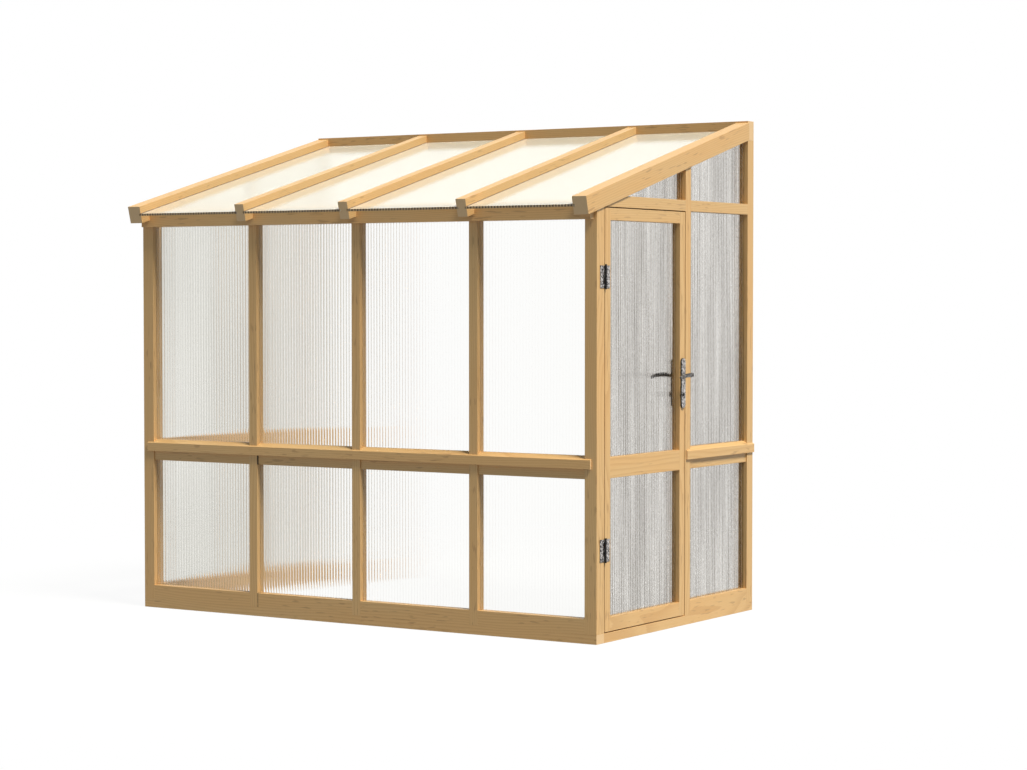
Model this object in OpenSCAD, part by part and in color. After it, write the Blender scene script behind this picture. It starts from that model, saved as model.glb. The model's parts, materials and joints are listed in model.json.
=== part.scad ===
// Lean-to greenhouse: a timber frame glazed with twin-wall sheets, open towards the house wall.
// X runs along the front, Y from the front towards the house wall, Z up. All sizes in millimetres.
// The pieces are drawn from the front left corner of the walls, then moved so that the origin lies
// on the floor at the centre of the whole outline.

/* [Front wall] */
// Clear width of the first bay from the left
bay_1 = 598; // [400:1:900]
// Clear width of the second bay
bay_2 = 564; // [400:1:900]
// Clear width of the third bay
bay_3 = 610; // [400:1:900]
// Clear width of the fourth bay
bay_4 = 566; // [400:1:900]
// Width of a mullion between two bays
mullion_w = 46; // [36:1:70]
// Width of a corner post across the front
corner_w = 62; // [55:1:90]
// Depth of a corner post along the end wall
corner_d = 66; // [60:1:90]
// Thickness of the front wall's mullions and rails
front_t = 54; // [46:1:60]
// Height of the rafter seat at the front face of the posts
seat_z = 1917; // [1750:1:2100]
// Height of the head rail under the rafter seat
head_rail_h = 38; // [28:1:60]
// Open joint between the two halves of the front, beside the first mullion
panel_joint = 4; // [1:0.5:5]

/* [End walls] */
// Clear width of the doorway between the corner post and the door post
doorway_w = 746; // [650:1:900]
// Clear width of the fixed bay behind the doorway
rear_bay_w = 578; // [400:1:900]
// Width of the door post along the end wall
door_post_w = 50; // [40:1:70]
// Depth of the rear posts and of the wall plate
rear_post_d = 60; // [45:1:90]
// Thickness of the end walls
end_t = 48; // [44:1:54]
// Height of the transom over the door
transom_h = 51; // [36:1:70]

/* [Rails and sills] */
// Height of the sole plates on the ground
sole_h = 43; // [30:1:70]
// Height of the bottom rails above the sole plates
bottom_rail_h = 68; // [40:1:100]
// Height of the sills' underside
sill_z = 775; // [600:1:1000]
// Height of the middle rails under the sills
middle_rail_h = 45; // [30:1:70]
// Setback of the middle rails from the posts' faces
middle_rail_set = 6; // [0:1:8]
// Height of a sill at its front edge
sill_front_h = 41; // [28:1:50]
// Height of a sill at the glazing
sill_back_h = 58; // [52:1:75]
// How far the sills stand proud of the posts
sill_proud = 9; // [4:1:20]
// Distance from a corner to the end of a sill
sill_inset = 28; // [10:1:45]
// How much of the door post's width the right sill leaves bare
sill_lap = 8; // [4:1:25]

/* [Roof] */
// Pitch of the roof in degrees
roof_pitch = 14.7; // [10:0.1:20]
// Overhang of the rafter tips in front of the posts
overhang = 105; // [70:1:160]
// Depth of a rafter, square to the slope
rafter_depth = 83; // [70:1:110]
// Width of an inner rafter
rafter_w = 53; // [40:1:70]
// Width of an end rafter
end_rafter_w = 74; // [64:1:90]
// How far an end rafter stands proud of the end wall
end_rafter_proud = 7; // [3:1:8]
// Depth of the sheets' upper face below the rafter tops
sheet_drop = 36; // [25:1:45]
// Setback of the sheets' lower edge from the rafter tips
sheet_setback = 19; // [16:1:35]
// Thickness of the eave beam in front of the posts
eave_beam_t = 30; // [20:1:45]
// How far the eave beam hangs below the rafter seat
eave_beam_drop = 40; // [25:1:60]
// Distance from a corner to the end of the eave beam
eave_beam_inset = 16; // [6:1:40]
// How far the wall plate stands above the rafters
wall_plate_proud = 8; // [4:1:14]

/* [Glazing] */
// Thickness of the glazing sheets
sheet_t = 10; // [6:1:12]
// Setback of the sheets from the front wall's face
front_set = 25; // [18:1:28]
// Setback of the sheets from the end walls' and the door's face
end_set = 20; // [15:1:22]
// Depth of the grooves that hold the sheets
groove = 10; // [6:1:12]
// Play between a sheet's faces and its groove
glazing_fit = 0.3; // [0.2:0.1:0.5]
// Room between a sheet's side and top edges and the floor of its groove
edge_room = 2; // [1:0.5:3]

/* [Door] */
// Thickness of the door leaf
door_t = 40; // [38:1:44]
// Width of a door stile
stile_w = 48; // [44:1:70]
// Height of the door's top rail
door_top_h = 54; // [40:1:90]
// Height of the door's middle rail
door_middle_h = 93; // [60:1:120]
// Gap round the door at its top, bottom and hinge side
door_gap = 5; // [5:0.5:6]
// Gap between the door and the door post
latch_gap = 7; // [7:0.5:10]

/* [Hinges] */
// Height of a hinge
hinge_h = 100; // [80:1:140]
// Width of one hinge leaf, from the pin's axis
hinge_leaf_w = 42; // [30:1:46]
// Thickness of a hinge leaf
hinge_leaf_t = 2.5; // [2:0.5:3]
// Radius of the hinge knuckles
knuckle_r = 6; // [5:0.5:7]
// Radius of the hinge pins
pin_r = 3; // [2:0.5:3.5]
// Play round a hinge pin
pin_fit = 0.05; // [0.03:0.01:0.1]
// Gap between two knuckles
knuckle_gap = 0.5; // [0.3:0.1:1]
// Distance from the door's top to the upper hinge
hinge_top = 255; // [120:1:350]
// Distance from the door's bottom to the lower hinge
hinge_bottom = 314; // [120:1:400]

/* [Door furniture] */
// Height of the lever handles' spindle above the floor
handle_z = 1166; // [950:1:1250]
// Length of a handle's back plate
plate_len = 231; // [200:1:260]
// Width of a handle's back plate
plate_w = 38; // [30:1:42]
// Thickness of a handle's back plate
plate_t = 8; // [6:0.5:9]
// Distance from the spindle up to the top of the back plate
plate_rise = 84; // [40:1:110]
// Distance from the face of the back plate to the lever's centre line
lever_neck = 52; // [42:1:60]
// Length of a lever from its spindle
lever_len = 122; // [90:1:140]
// Radius of a lever
lever_r = 9; // [6:0.5:10]
// Radius of a lever's hub
hub_r = 11; // [10:0.5:12]
// Length of a lever's hub in front of the back plate
hub_len = 10; // [6:1:15]
// Play round a hub in its back plate
hub_fit = 0.05; // [0.03:0.01:0.1]
// Radius of the spindle between the levers
spindle_r = 4; // [3:0.5:5]
// Room round the spindle in the door stile
spindle_room = 5; // [5:0.5:6]
// Distance from the spindle down to the lock cylinder
lock_drop = 85; // [60:1:92]
// Radius of the lock cylinder
lock_r = 8; // [6:0.5:10]
// How far the lock cylinder stands out of the back plates
lock_proud = 3; // [1:0.5:8]
// Width of the thumb-turn on the inside
turn_w = 24; // [16:1:30]
// How far the thumb-turn stands out of the lock cylinder
turn_len = 18; // [8:1:24]
// Thickness of the thumb-turn
turn_t = 6; // [4:0.5:9]

/* [Hidden] */
$fn = 48;

wood = [0.84, 0.66, 0.44];
sheet = [0.88, 0.88, 0.86, 0.5];
iron = [0.16, 0.16, 0.17];

// Front wall: bays and the posts between them
bays = [bay_1, bay_2, bay_3, bay_4];
function sum_to(list, n) = n <= 0 ? 0 : list[n - 1] + sum_to(list, n - 1);
function bay_x(i) = corner_w + sum_to(bays, i) + i * mullion_w;
length = bay_x(3) + bay_4 + corner_w;
last = len(bays) - 1;

// End walls: the doorway's bay, then the fixed bay
post_y = corner_d + doorway_w;
rear_bay_y = post_y + door_post_w;
plate_y = rear_bay_y + rear_bay_w;
depth = plate_y + rear_post_d;
door_bay = [corner_d, post_y];
rear_bay = [rear_bay_y, plate_y];

// Roof planes: rafter underside, rafter top, and a layer a given depth below the top
rafter_drop = rafter_depth / cos(roof_pitch);
function under(y) = seat_z + y * tan(roof_pitch);
function over(y) = under(y) + rafter_drop;
function layer(y, d) = over(y) - d / cos(roof_pitch);
function under_reaches(z) = (z - seat_z) / tan(roof_pitch);
sheet_y = -overhang + sheet_setback;

// Heights that line up round the walls
rail_top = sole_h + bottom_rail_h;
middle_z = sill_z - middle_rail_h;
sill_top = sill_z + sill_back_h;
head_z = seat_z - head_rail_h;
transom_z = under(corner_d);
transom_top = transom_z + transom_h;
gable_y = under_reaches(transom_top);

// Door leaf
door_y0 = corner_d + door_gap;
door_y1 = post_y - latch_gap;
door_z0 = sole_h + door_gap;
door_z1 = transom_z - door_gap;
door_head = door_z1 - door_top_h;
door_middle_top = middle_z + door_middle_h;
handle_y = door_y1 - stile_w / 2;

// Hinges: the knuckles stand just clear of the wall's face, over the gap
knuckle_clear = 0.5;
hinge_x = knuckle_r + knuckle_clear;
hinge_y = corner_d + door_gap / 2;
hinge_zs = [door_z0 + hinge_bottom, door_z1 - hinge_top - hinge_h];
knuckles = 5;
knuckle_h = hinge_h / knuckles;
leaf_clear = 1;
pin_head_r = 4.5;
pin_head_h = 5;

// Small details of the levers
lever_chamfer = 2;
lever_bend = 16;
hub_start = 0.5;
lock_fit = 0.1;

// Outline of the whole object, which sets the origin
reach_x = plate_t + lever_neck + lever_r;
origin_x = (length + reach_x - sill_proud) / 2;
origin_y = (depth - overhang) / 2;

// ---- Helpers ----

// Moves a piece from the walls' front left corner to the object's origin
module place() {
    translate([-origin_x, -origin_y, 0]) children();
}

// Box between two opposite corners
module block(low, high) {
    translate(low) cube(high - low);
}

// Carries a Y-Z outline along X
module along_x(x0, x1, outline) {
    translate([x0, 0, 0]) rotate([90, 0, 90]) linear_extrude(x1 - x0) polygon(outline);
}

// Carries an X-Z outline along Y
module along_y(y0, y1, outline) {
    translate([0, y1, 0]) rotate([90, 0, 0]) linear_extrude(y1 - y0) polygon(outline);
}

// Round bar along X
module bar_x(r, x0, x1) {
    translate([x0, 0, 0]) rotate([0, 90, 0]) cylinder(r = r, h = x1 - x0);
}

// Draws an end wall's piece with x measured inwards from that wall's outer face
module left_end() {
    children();
}
module right_end() {
    translate([length, 0, 0]) mirror([1, 0, 0]) children();
}

// Sill section: square nose, top sloping up to the glazing, level behind it
function sill_outline(set, t) = [
    [-sill_proud, sill_z], [t, sill_z], [t, sill_top], [set, sill_top],
    [-sill_proud, sill_z + sill_front_h]
];

// ---- Grooves for the glazing ----

// A pane's box is wider than its opening by the groove on every side. The pocket is the pane plus play.
module front_glass(x0, x1, z0, z1, room, fit) {
    block([x0 - groove + room, front_set - fit, z0 - groove],
          [x1 + groove - room, front_set + sheet_t + fit, z1 + groove - room]);
}

module end_glass(y0, y1, z0, z1, room, fit) {
    block([end_set - fit, y0 - groove + room, z0 - groove],
          [end_set + sheet_t + fit, y1 + groove - room, z1 + groove - room]);
}

// Gable pane: level foot on the transom, sloping head in the end rafter's groove
module gable_glass(y0, y1, room, fit) {
    side = groove - room;
    head = side / cos(roof_pitch);
    along_x(end_set - fit, end_set + sheet_t + fit, [
        [y0 - side, transom_top - groove], [y1 + side, transom_top - groove],
        [y1 + side, under(y1 + side) + head], [y0 - side, under(y0 - side) + head]
    ]);
}

module front_pockets() {
    for (i = [0 : last]) {
        front_glass(bay_x(i), bay_x(i) + bays[i], rail_top, middle_z, 0, glazing_fit);
        front_glass(bay_x(i), bay_x(i) + bays[i], sill_top, head_z, 0, glazing_fit);
    }
}

module end_pockets(glazed_bays) {
    for (b = glazed_bays) {
        end_glass(b[0], b[1], rail_top, middle_z, 0, glazing_fit);
        end_glass(b[0], b[1], sill_top, transom_z, 0, glazing_fit);
    }
    gable_glass(gable_y, post_y, 0, glazing_fit);
    gable_glass(rear_bay_y, plate_y, 0, glazing_fit);
}

module left_pockets() {
    end_pockets([door_bay, rear_bay]);
}

module right_pockets() {
    end_pockets([rear_bay]);
}

// ---- Roof shapes that several pieces share ----

// Left and right side of each rafter, the end rafters first and last
function rafter_x0(i) = i == 0 ? -end_rafter_proud
    : i > last ? length + end_rafter_proud - end_rafter_w
    : bay_x(i) - mullion_w / 2 - rafter_w / 2;
function rafter_x1(i) = rafter_x0(i) + (i == 0 || i > last ? end_rafter_w : rafter_w);

// Rafter outline: square-cut tip, butted upright against the wall plate
rafter_tip_y = -overhang + rafter_depth * sin(roof_pitch);
rafter_outline = [
    [-overhang, over(-overhang)], [plate_y, over(plate_y)],
    [plate_y, under(plate_y)], [rafter_tip_y, under(rafter_tip_y)]
];

module rafter(i) {
    along_x(rafter_x0(i), rafter_x1(i), rafter_outline);
}

// Sheet between rafter i and the next one
module roof_sheet(i, room, fit) {
    low = sheet_drop + sheet_t + fit;
    high = sheet_drop - fit;
    y0 = sheet_y + room - groove;
    y1 = plate_y - room;
    along_x(rafter_x1(i) - groove + room, rafter_x0(i + 1) + groove - room, [
        [y0, layer(y0, low)], [y1, layer(y1, low)], [y1, layer(y1, high)], [y0, layer(y0, high)]
    ]);
}

module roof_pockets() {
    for (i = [0 : last]) roof_sheet(i, 0, glazing_fit);
}

// Upright post of an end wall, cut off under the end rafter
module end_post(y0, y1) {
    along_x(0, end_t, [[y0, sole_h], [y1, sole_h], [y1, under(y1)], [y0, under(y0)]]);
}

module end_rail(bay, z0, z1, set = 0) {
    block([set, bay[0], z0], [end_t, bay[1], z1]);
}

// Transoms: the front one runs out to a point under the end rafter
module end_transoms() {
    along_x(0, end_t, [
        [corner_d, transom_z], [post_y, transom_z], [post_y, transom_top], [gable_y, transom_top]
    ]);
    end_rail(rear_bay, transom_z, transom_top);
}

module end_sill(y0) {
    along_y(y0, depth, sill_outline(end_set, end_t));
}

// Posts as plain boxes, for the notches in the sills
module post_notches() {
    for (x = [0, length - corner_w]) {
        block([x, 0, sole_h], [x + corner_w, corner_d, seat_z]);
    }
    for (i = [1 : last]) {
        block([bay_x(i) - mullion_w, 0, sole_h], [bay_x(i), front_t, seat_z]);
    }
    for (x = [0, length - end_t]) {
        block([x, post_y, sole_h], [x + end_t, rear_bay_y, seat_z]);
        block([x, plate_y, sole_h], [x + end_t, depth, seat_z]);
    }
}

// ---- Ground frame ----

module front_sole_plate() {
    color(wood) place() block([0, 0, 0], [length, corner_d, sole_h]);
}

module end_sole_plate() {
    block([0, corner_d, 0], [end_t, depth, sole_h]);
}

module left_sole_plate() {
    color(wood) place() left_end() end_sole_plate();
}

module right_sole_plate() {
    color(wood) place() right_end() end_sole_plate();
}

// ---- Posts ----

module corner_post() {
    along_x(0, corner_w, [
        [0, sole_h], [corner_d, sole_h], [corner_d, under(corner_d)], [0, under(0)]
    ]);
}

module corner_posts() {
    color(wood) place() difference() {
        union() {
            left_end() corner_post();
            right_end() corner_post();
        }
        front_pockets();
        left_end() left_pockets();
        right_end() right_pockets();
    }
}

module front_mullions() {
    color(wood) place() difference() {
        for (i = [1 : last]) {
            along_x(bay_x(i) - mullion_w, bay_x(i), [
                [0, sole_h], [front_t, sole_h], [front_t, under(front_t)], [0, under(0)]
            ]);
        }
        front_pockets();
    }
}

module rear_post() {
    block([0, plate_y, sole_h], [end_t, depth, under(plate_y)]);
}

module rear_posts() {
    color(wood) place() {
        left_end() difference() {
            rear_post();
            left_pockets();
        }
        right_end() difference() {
            rear_post();
            right_pockets();
        }
    }
}

module left_middle_post() {
    color(wood) place() left_end() difference() {
        end_post(post_y, rear_bay_y);
        left_pockets();
    }
}

module door_post() {
    color(wood) place() right_end() difference() {
        end_post(post_y, rear_bay_y);
        right_pockets();
    }
}

// ---- Rails ----

// One rail in each front bay; the second bay's rails leave the open joint
module front_rails(z0, z1, joint, set = 0) {
    for (i = [0 : last]) {
        gap = i == 1 ? joint : 0;
        block([bay_x(i) + gap, set, z0], [bay_x(i) + bays[i], front_t, z1]);
    }
}

module front_bottom_rails() {
    color(wood) place() difference() {
        front_rails(sole_h, rail_top, panel_joint);
        front_pockets();
    }
}

module front_middle_rails() {
    color(wood) place() difference() {
        front_rails(middle_z, sill_z, panel_joint, middle_rail_set);
        front_pockets();
    }
}

module front_head_rails() {
    color(wood) place() difference() {
        front_rails(head_z, seat_z, 0);
        front_pockets();
    }
}

module left_bottom_rails() {
    color(wood) place() left_end() difference() {
        for (b = [door_bay, rear_bay]) end_rail(b, sole_h, rail_top);
        left_pockets();
    }
}

module left_middle_rails() {
    color(wood) place() left_end() difference() {
        for (b = [door_bay, rear_bay]) end_rail(b, middle_z, sill_z, middle_rail_set);
        left_pockets();
    }
}

module left_transoms() {
    color(wood) place() left_end() difference() {
        end_transoms();
        left_pockets();
    }
}

module right_bottom_rail() {
    color(wood) place() right_end() difference() {
        end_rail(rear_bay, sole_h, rail_top);
        right_pockets();
    }
}

module right_middle_rail() {
    color(wood) place() right_end() difference() {
        end_rail(rear_bay, middle_z, sill_z, middle_rail_set);
        right_pockets();
    }
}

module right_transoms() {
    color(wood) place() right_end() difference() {
        end_transoms();
        right_pockets();
    }
}

// ---- Sills, notched round the posts ----

module front_sill() {
    color(wood) place() difference() {
        along_x(sill_inset, length - sill_inset, sill_outline(front_set, front_t));
        post_notches();
        front_pockets();
    }
}

module left_sill() {
    color(wood) place() difference() {
        left_end() end_sill(sill_inset);
        post_notches();
        left_end() left_pockets();
    }
}

module right_sill() {
    color(wood) place() difference() {
        right_end() end_sill(post_y + sill_lap);
        post_notches();
        right_end() right_pockets();
    }
}

// ---- Roof frame ----

module eave_beam() {
    low = seat_z - eave_beam_drop;
    under_sheet = sheet_drop + sheet_t + glazing_fit;
    color(wood) place() difference() {
        along_x(eave_beam_inset, length - eave_beam_inset, [
            [-eave_beam_t, low], [0, low],
            [0, layer(0, under_sheet)], [-eave_beam_t, layer(-eave_beam_t, under_sheet)]
        ]);
        for (i = [0 : last + 1]) rafter(i);
    }
}

module wall_plate() {
    color(wood) place() difference() {
        block([0, plate_y, under(plate_y)], [length, depth, over(plate_y) + wall_plate_proud]);
        left_end() left_pockets();
        right_end() right_pockets();
    }
}

module end_rafters() {
    color(wood) place() difference() {
        for (i = [0, last + 1]) rafter(i);
        roof_pockets();
        left_end() left_pockets();
        right_end() right_pockets();
    }
}

module inner_rafters() {
    color(wood) place() difference() {
        for (i = [1 : last]) rafter(i);
        roof_pockets();
    }
}

// ---- Glazing ----

module front_panes(z0, z1) {
    for (i = [0 : last]) front_glass(bay_x(i), bay_x(i) + bays[i], z0, z1, edge_room, 0);
}

module front_lower_panes() {
    color(sheet) place() front_panes(rail_top, middle_z);
}

module front_upper_panes() {
    color(sheet) place() front_panes(sill_top, head_z);
}

module end_panes(glazed_bays, z0, z1) {
    for (b = glazed_bays) end_glass(b[0], b[1], z0, z1, edge_room, 0);
}

module gable_panes() {
    gable_glass(gable_y, post_y, edge_room, 0);
    gable_glass(rear_bay_y, plate_y, edge_room, 0);
}

module left_lower_panes() {
    color(sheet) place() left_end() end_panes([door_bay, rear_bay], rail_top, middle_z);
}

module left_upper_panes() {
    color(sheet) place() left_end() end_panes([door_bay, rear_bay], sill_top, transom_z);
}

module left_gable_panes() {
    color(sheet) place() left_end() gable_panes();
}

module right_lower_pane() {
    color(sheet) place() right_end() end_panes([rear_bay], rail_top, middle_z);
}

module right_upper_pane() {
    color(sheet) place() right_end() end_panes([rear_bay], sill_top, transom_z);
}

module right_gable_panes() {
    color(sheet) place() right_end() gable_panes();
}

module roof_sheets() {
    color(sheet) place() for (i = [0 : last]) roof_sheet(i, edge_room, 0);
}

// ---- Door ----

module door_glass(z0, z1, room, fit) {
    end_glass(door_y0 + stile_w, door_y1 - stile_w, z0, z1, room, fit);
}

module door_pockets() {
    door_glass(rail_top, middle_z, 0, glazing_fit);
    door_glass(door_middle_top, door_head, 0, glazing_fit);
}

module door_stiles() {
    color(wood) place() right_end() difference() {
        for (y = [door_y0, door_y1 - stile_w]) {
            block([0, y, door_z0], [door_t, y + stile_w, door_z1]);
        }
        door_pockets();
        translate([0, handle_y, handle_z]) bar_x(spindle_r + spindle_room, -1, door_t + 1);
        translate([0, handle_y, handle_z - lock_drop]) bar_x(lock_r + lock_fit, -1, door_t + 1);
    }
}

module door_rails() {
    color(wood) place() right_end() difference() {
        for (z = [[door_z0, rail_top], [middle_z, door_middle_top], [door_head, door_z1]]) {
            block([0, door_y0 + stile_w, z[0]], [door_t, door_y1 - stile_w, z[1]]);
        }
        door_pockets();
    }
}

module door_panes() {
    color(sheet) place() right_end() {
        door_glass(rail_top, middle_z, edge_room, 0);
        door_glass(door_middle_top, door_head, edge_room, 0);
    }
}

// ---- Hinges ----

// One leaf with its share of the knuckles, drawn towards -Y from the pin's axis.
// first is 0 for the leaf that holds the outermost knuckles, 1 for the one between them.
module hinge_leaf(first) {
    difference() {
        union() {
            block([-hinge_leaf_t, -hinge_leaf_w, 0], [0, -knuckle_r - leaf_clear, hinge_h]);
            for (k = [first : 2 : knuckles - 1]) {
                low = k * knuckle_h + (k == 0 ? 0 : knuckle_gap / 2);
                high = (k + 1) * knuckle_h - (k == knuckles - 1 ? 0 : knuckle_gap / 2);
                block([-hinge_leaf_t, -knuckle_r - leaf_clear, low], [0, 0, high]);
                translate([-hinge_x, 0, low]) cylinder(r = knuckle_r, h = high - low);
            }
        }
        translate([-hinge_x, 0, -1]) cylinder(r = pin_r + pin_fit, h = hinge_h + 2);
    }
}

module hinge_post_leaves() {
    color(iron) place() right_end() {
        for (z = hinge_zs) translate([0, hinge_y, z]) hinge_leaf(0);
    }
}

module hinge_door_leaves() {
    color(iron) place() right_end() {
        for (z = hinge_zs) translate([0, hinge_y, z]) mirror([0, 1, 0]) hinge_leaf(1);
    }
}

module hinge_pins() {
    color(iron) place() right_end() for (z = hinge_zs) {
        translate([-hinge_x, hinge_y, z]) {
            cylinder(r = pin_r, h = hinge_h);
            translate([0, 0, hinge_h]) cylinder(r = pin_head_r, h = pin_head_h);
            translate([0, 0, -pin_head_h]) cylinder(r = pin_head_r, h = pin_head_h);
        }
    }
}

// ---- Door furniture, drawn outwards along +X from a door face at x = 0 ----

module outside_of_door() {
    right_end() mirror([1, 0, 0]) translate([0, handle_y, handle_z]) children();
}

module inside_of_door() {
    right_end() translate([door_t, handle_y, handle_z]) children();
}

// Back plate with round ends, bored for the hub and the lock cylinder
module back_plate() {
    end_r = plate_w / 2;
    high = plate_rise - end_r;
    low = plate_rise - plate_len + end_r;
    difference() {
        union() {
            block([0, -end_r, low], [plate_t, end_r, high]);
            for (z = [low, high]) translate([0, 0, z]) bar_x(end_r, 0, plate_t);
        }
        bar_x(hub_r + hub_fit, -1, plate_t + 1);
        translate([0, 0, -lock_drop]) bar_x(lock_r + lock_fit, -1, plate_t + 1);
    }
}

module outer_back_plate() {
    color(iron) place() outside_of_door() back_plate();
}

module inner_back_plate() {
    color(iron) place() inside_of_door() back_plate();
}

// Lever: hub and neck out of the plate, a quarter bend, then a round arm towards the hinges
module lever() {
    elbow_x = plate_t + lever_neck - lever_bend;
    bar_x(hub_r, hub_start, plate_t + hub_len);
    bar_x(lever_r, plate_t + hub_len, elbow_x);
    translate([elbow_x, -lever_bend, 0]) rotate_extrude(angle = 90) {
        translate([lever_bend, 0]) circle(r = lever_r);
    }
    translate([elbow_x + lever_bend, -lever_bend, 0]) rotate([90, 0, 0]) {
        arm = lever_len - lever_bend;
        cylinder(r = lever_r, h = arm - lever_chamfer);
        translate([0, 0, arm - lever_chamfer]) {
            cylinder(r1 = lever_r, r2 = lever_r - lever_chamfer, h = lever_chamfer);
        }
    }
}

module outer_lever() {
    color(iron) place() outside_of_door() lever();
}

module inner_lever() {
    color(iron) place() inside_of_door() lever();
}

module spindle() {
    color(iron) place() inside_of_door() bar_x(spindle_r, -door_t - hub_start, hub_start);
}

module lock_cylinder() {
    color(iron) place() inside_of_door() translate([0, 0, -lock_drop]) {
        bar_x(lock_r, -door_t - plate_t - lock_proud, plate_t + lock_proud);
    }
}

module thumb_turn() {
    foot = plate_t + lock_proud;
    color(iron) place() inside_of_door() translate([0, 0, -lock_drop]) {
        block([foot, -turn_t / 2, -turn_w / 2], [foot + turn_len, turn_t / 2, turn_w / 2]);
    }
}

front_sole_plate();
left_sole_plate();
right_sole_plate();
corner_posts();
front_mullions();
rear_posts();
left_middle_post();
door_post();
front_bottom_rails();
front_middle_rails();
front_head_rails();
left_bottom_rails();
left_middle_rails();
left_transoms();
right_bottom_rail();
right_middle_rail();
right_transoms();
front_sill();
left_sill();
right_sill();
eave_beam();
wall_plate();
end_rafters();
inner_rafters();
front_lower_panes();
front_upper_panes();
left_lower_panes();
left_upper_panes();
left_gable_panes();
right_lower_pane();
right_upper_pane();
right_gable_panes();
roof_sheets();
door_stiles();
door_rails();
door_panes();
hinge_post_leaves();
hinge_door_leaves();
hinge_pins();
outer_back_plate();
inner_back_plate();
lock_cylinder();
thumb_turn();
outer_lever();
inner_lever();
spindle();
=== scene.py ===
import json
import math

import bmesh
import bpy
import numpy as np
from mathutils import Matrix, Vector


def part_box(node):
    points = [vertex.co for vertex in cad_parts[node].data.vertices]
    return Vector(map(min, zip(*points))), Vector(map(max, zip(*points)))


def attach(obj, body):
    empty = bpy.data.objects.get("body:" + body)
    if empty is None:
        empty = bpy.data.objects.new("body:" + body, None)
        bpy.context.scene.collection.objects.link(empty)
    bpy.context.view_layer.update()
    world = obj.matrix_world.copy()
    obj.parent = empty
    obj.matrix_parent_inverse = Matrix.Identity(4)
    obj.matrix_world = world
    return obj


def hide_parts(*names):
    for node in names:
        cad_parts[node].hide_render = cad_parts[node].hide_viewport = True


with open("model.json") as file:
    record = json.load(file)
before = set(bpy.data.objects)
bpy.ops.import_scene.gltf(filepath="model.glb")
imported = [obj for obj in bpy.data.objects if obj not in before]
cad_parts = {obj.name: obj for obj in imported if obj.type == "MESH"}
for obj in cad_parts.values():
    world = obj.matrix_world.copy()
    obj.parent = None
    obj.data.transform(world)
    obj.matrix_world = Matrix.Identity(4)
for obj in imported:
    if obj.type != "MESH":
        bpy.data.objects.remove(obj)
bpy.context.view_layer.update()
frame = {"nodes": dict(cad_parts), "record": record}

scene = bpy.context.scene
BODY_OF = {name: body for body, names in frame["record"]["behaviour"]["bodies"].items() for name in names}
MM = 0.001
FLUTE_PITCH = 16 * MM

# ---- Shader helpers ------------------------------------------------------------------------------------------


def node(tree, kind, inputs=None, **settings):
    """One shader node: settings are its own properties, and each input takes a value or another node's output."""
    made = tree.nodes.new("ShaderNode" + kind)
    for key, value in settings.items():
        setattr(made, key, value)
    for key, value in (inputs or {}).items():
        if isinstance(value, bpy.types.NodeSocket):
            tree.links.new(value, made.inputs[key])
        else:
            made.inputs[key].default_value = value
    return made


def maths(tree, operation, a, b=0.0, c=0.0, clamp=False):
    """The result of a sum on up to three values."""
    return node(tree, "Math", {0: a, 1: b, 2: c}, operation=operation, use_clamp=clamp).outputs[0]


def ramp(tree, value, start, end, low=0.0, high=1.0):
    """value from start..end carried smoothly to low..high, clamped."""
    carried = {"Value": value, "From Min": start, "From Max": end, "To Min": low, "To Max": high}
    return node(tree, "MapRange", carried, interpolation_type="SMOOTHSTEP").outputs["Result"]


def blend(tree, factor, a, b, mode="MIX"):
    """Colour a mixed with colour b."""
    return node(tree, "Mix", {0: factor, 6: a, 7: b}, data_type="RGBA", blend_type=mode).outputs[2]


def mapped(tree, where, scale=(1, 1, 1), shift=(0, 0, 0)):
    """Coordinates stretched by scale, then moved by shift."""
    return node(tree, "Mapping", {"Vector": where, "Location": shift, "Scale": scale}).outputs[0]


def noise(tree, where, scale, detail):
    """Cloudy noise from 0 to 1."""
    return node(tree, "TexNoise", {"Vector": where, "Scale": scale, "Detail": detail}).outputs["Fac"]


def mixed(tree, share, a, b):
    """Shader node a with the given share of shader node b."""
    return node(tree, "MixShader", {0: share, 1: a.outputs[0], 2: b.outputs[0]})


def show(tree, shader):
    """Puts a shader node on the tree's surface output."""
    out = next(n for n in tree.nodes if n.type in ("OUTPUT_MATERIAL", "OUTPUT_WORLD"))
    tree.links.new(shader.outputs[0], out.inputs["Surface"])


def feed(tree, target, inputs):
    """Links outputs of other nodes to a node's inputs."""
    for key, value in inputs.items():
        tree.links.new(value, target.inputs[key])


def group(name, inputs, outputs):
    """An empty shader node group with named sockets. Returns its tree, its input node and its output node."""
    tree = bpy.data.node_groups.new(name, "ShaderNodeTree")
    for title, kind in inputs:
        tree.interface.new_socket(title, in_out="INPUT", socket_type="NodeSocket" + kind)
    for title, kind in outputs:
        tree.interface.new_socket(title, in_out="OUTPUT", socket_type="NodeSocket" + kind)
    return tree, tree.nodes.new("NodeGroupInput"), tree.nodes.new("NodeGroupOutput")


def material(name):
    """A material with its Principled shader on the surface output. Returns the material, its tree and the shader."""
    made = bpy.data.materials.new(name)
    made.use_nodes = True
    tree = made.node_tree
    shader = next(n for n in tree.nodes if n.type == "BSDF_PRINCIPLED")
    return made, tree, shader


def bumped(tree, height, strength, distance):
    """A normal from a height that stands distance proud at the most."""
    return node(tree, "Bump", {"Height": height, "Strength": strength, "Distance": distance}).outputs[0]


# ---- Wood ----------------------------------------------------------------------------------------------------

PINE_PALE = (0.752, 0.482, 0.208, 1)
PINE_DARK = (0.610, 0.352, 0.134, 1)
PINE_STREAK = (0.330, 0.165, 0.065, 1)
PINE_WARMTH = (1.05, 0.95, 0.83, 1)
# Colours of the sawn ends, paler than the planed faces: the rings are real, the extra paleness is painted light
END_DARK = (0.76, 0.495, 0.24, 1)
END_PALE = (0.87, 0.60, 0.32, 1)
PITH = (0.31, 0.17, 0.0)
ROOF_SLOPE = math.radians(14.7)

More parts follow.
